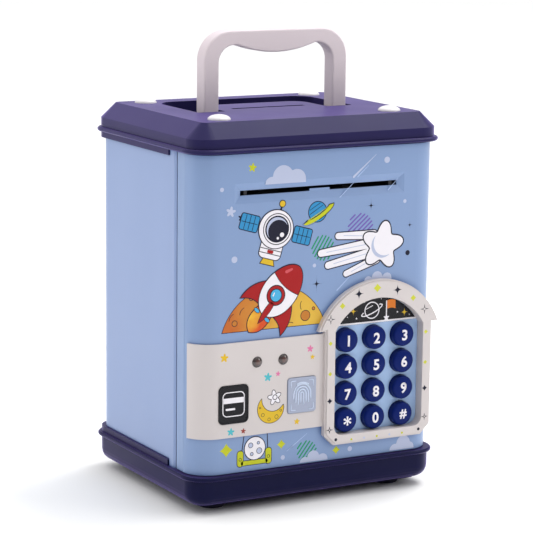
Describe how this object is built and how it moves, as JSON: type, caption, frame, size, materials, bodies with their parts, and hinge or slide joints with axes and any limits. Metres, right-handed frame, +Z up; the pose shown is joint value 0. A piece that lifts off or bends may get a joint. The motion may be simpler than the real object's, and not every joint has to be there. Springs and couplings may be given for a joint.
{
  "type": "toy cash-machine savings bank",
  "caption": "Box-shaped toy safe with a folding carry handle, coin and banknote slots, a hinged front door with a keypad, a latch and a roller banknote feeder.",
  "frame": {"origin": "on the floor, under the middle of the object", "axes": "+Z up; +X to the right as the door is faced; +Y to the back"},
  "size_m": [0.1336, 0.1123, 0.218],
  "materials": {
    "navy_plastic": "moulded navy plastic with a fine satin texture",
    "sky_plastic": "moulded light blue plastic, satin",
    "plate_plastic": "light blue moulded plastic",
    "white_plastic": "off-white moulded plastic",
    "handle_plastic": "off-white moulded plastic with a fine grain",
    "cap_plastic": "white moulded plastic",
    "key_plastic": "navy moulded keys with printed white digits",
    "black_print": "black glossy print",
    "smoked_lens": "smoked clear lens",
    "foot_rubber": "dark soft rubber",
    "screw_steel": "zinc plated steel",
    "pin_steel": "ground steel",
    "contact_steel": "nickel plated spring steel",
    "mat_silicone": "grey silicone",
    "board_laminate": "green circuit board laminate",
    "liner_plastic": "off-white moulded plastic",
    "cell_wrap": "plain dark green wrap over a steel can",
    "speaker_black": "black pressed frame and cone",
    "actuator_case": "dark painted steel case",
    "frame_plastic": "black moulded plastic",
    "bush_brass": "turned brass",
    "motor_can": "drawn steel can",
    "gear_plastic": "black acetal",
    "roller_rubber": "black rubber",
    "idler_plastic": "white moulded plastic"
  },
  "bodies": {
    "box": {"body_shell": "sky_plastic", "lid_shell": "navy_plastic", "lid_screw_caps": "cap_plastic", "lid_screws": "screw_steel", "base_shell": "navy_plastic", "base_feet": "foot_rubber", "base_screws": "screw_steel", "strike_plate": "pin_steel", "strike_screws": "screw_steel", "door_hinge_pins": "pin_steel", "handle_pins": "pin_steel"},
    "handle": {"handle": "handle_plastic"},
    "door": {"door_panel": "sky_plastic", "sensor_panel": "white_plastic", "card_window": "black_print", "indicator_leds": "smoked_lens", "keypad_bezel": "white_plastic", "keypad_plate": "plate_plastic", "keypad_label": "black_print", "keypad_mat": "mat_silicone", "keypad_board": "board_laminate", "sensor_board": "board_laminate", "board_screws": "screw_steel", "door_liner": "liner_plastic", "liner_screws": "screw_steel", "battery_cover": "liner_plastic", "battery_cover_screw": "screw_steel", "battery_cells": "cell_wrap", "battery_contacts": "contact_steel", "speaker": "speaker_black", "latch_actuator": "actuator_case", "roller_frame": "frame_plastic", "roller_frame_screws": "screw_steel", "shaft_bushes": "bush_brass", "feeder_motor": "motor_can"},
    "latch": {"latch_bolt": "pin_steel"},
    "fingerprint": {"fingerprint_button": "plate_plastic"},
    "feed_roller": {"drive_shaft": "pin_steel", "drive_rollers": "roller_rubber", "roller_gear": "gear_plastic"},
    "motor_rotor": {"motor_pinion": "gear_plastic"},
    "idler": {"idler_shaft": "pin_steel", "idler_rollers": "idler_plastic"},
    "key_1": {"key_1": "key_plastic"},
    "key_2": {"key_2": "key_plastic"},
    "key_3": {"key_3": "key_plastic"},
    "key_4": {"key_4": "key_plastic"},
    "key_5": {"key_5": "key_plastic"},
    "key_6": {"key_6": "key_plastic"},
    "key_7": {"key_7": "key_plastic"},
    "key_8": {"key_8": "key_plastic"},
    "key_9": {"key_9": "key_plastic"},
    "key_star": {"key_star": "key_plastic"},
    "key_0": {"key_0": "key_plastic"},
    "key_hash": {"key_hash": "key_plastic"}
  },
  "joints": [
    {"name": "handle_fold", "type": "hinge", "parent": "box", "child": "handle", "pos_m": [0, -0.00575, 0.1763], "axis": [-1, 0, 0], "range_deg": [0, 90]},
    {"name": "door_swing", "type": "hinge", "parent": "box", "child": "door", "pos_m": [-0.0522, -0.0411, 0.092], "axis": [0, 0, -1], "range_deg": [0, 100]},
    {"name": "latch_slide", "type": "slide", "parent": "door", "child": "latch", "axis": [1, 0, 0], "range_m": [0, 0.005]},
    {"name": "fingerprint_press", "type": "slide", "parent": "door", "child": "fingerprint", "axis": [0, 1, 0], "range_m": [0, 0.0008], "stiffness_N_per_m": 500},
    {"name": "feed_roll", "type": "hinge", "parent": "door", "child": "feed_roller", "pos_m": [0, -0.04, 0.1426], "axis": [1, 0, 0], "continuous": true},
    {"name": "motor_spin", "type": "hinge", "parent": "door", "child": "motor_rotor", "pos_m": [0.03, -0.03119, 0.13211], "axis": [1, 0, 0], "continuous": true},
    {"name": "idler_spin", "type": "hinge", "parent": "door", "child": "idler", "pos_m": [0, -0.04, 0.1526], "axis": [1, 0, 0], "continuous": true},
    {"name": "key_1_press", "type": "slide", "parent": "door", "child": "key_1", "axis": [0, 1, 0], "range_m": [0, 0.0012], "stiffness_N_per_m": 500},
    {"name": "key_2_press", "type": "slide", "parent": "door", "child": "key_2", "axis": [0, 1, 0], "range_m": [0, 0.0012], "stiffness_N_per_m": 500},
    {"name": "key_3_press", "type": "slide", "parent": "door", "child": "key_3", "axis": [0, 1, 0], "range_m": [0, 0.0012], "stiffness_N_per_m": 500},
    {"name": "key_4_press", "type": "slide", "parent": "door", "child": "key_4", "axis": [0, 1, 0], "range_m": [0, 0.0012], "stiffness_N_per_m": 500},
    {"name": "key_5_press", "type": "slide", "parent": "door", "child": "key_5", "axis": [0, 1, 0], "range_m": [0, 0.0012], "stiffness_N_per_m": 500},
    {"name": "key_6_press", "type": "slide", "parent": "door", "child": "key_6", "axis": [0, 1, 0], "range_m": [0, 0.0012], "stiffness_N_per_m": 500},
    {"name": "key_7_press", "type": "slide", "parent": "door", "child": "key_7", "axis": [0, 1, 0], "range_m": [0, 0.0012], "stiffness_N_per_m": 500},
    {"name": "key_8_press", "type": "slide", "parent": "door", "child": "key_8", "axis": [0, 1, 0], "range_m": [0, 0.0012], "stiffness_N_per_m": 500},
    {"name": "key_9_press", "type": "slide", "parent": "door", "child": "key_9", "axis": [0, 1, 0], "range_m": [0, 0.0012], "stiffness_N_per_m": 500},
    {"name": "key_star_press", "type": "slide", "parent": "door", "child": "key_star", "axis": [0, 1, 0], "range_m": [0, 0.0012], "stiffness_N_per_m": 500},
    {"name": "key_0_press", "type": "slide", "parent": "door", "child": "key_0", "axis": [0, 1, 0], "range_m": [0, 0.0012], "stiffness_N_per_m": 500},
    {"name": "key_hash_press", "type": "slide", "parent": "door", "child": "key_hash", "axis": [0, 1, 0], "range_m": [0, 0.0012], "stiffness_N_per_m": 500}
  ],
  "couplings": [
    {"joint": "motor_spin", "follows": "feed_roll", "ratio": -2.4},
    {"joint": "idler_spin", "follows": "feed_roll", "ratio": -1.4474}
  ]
}
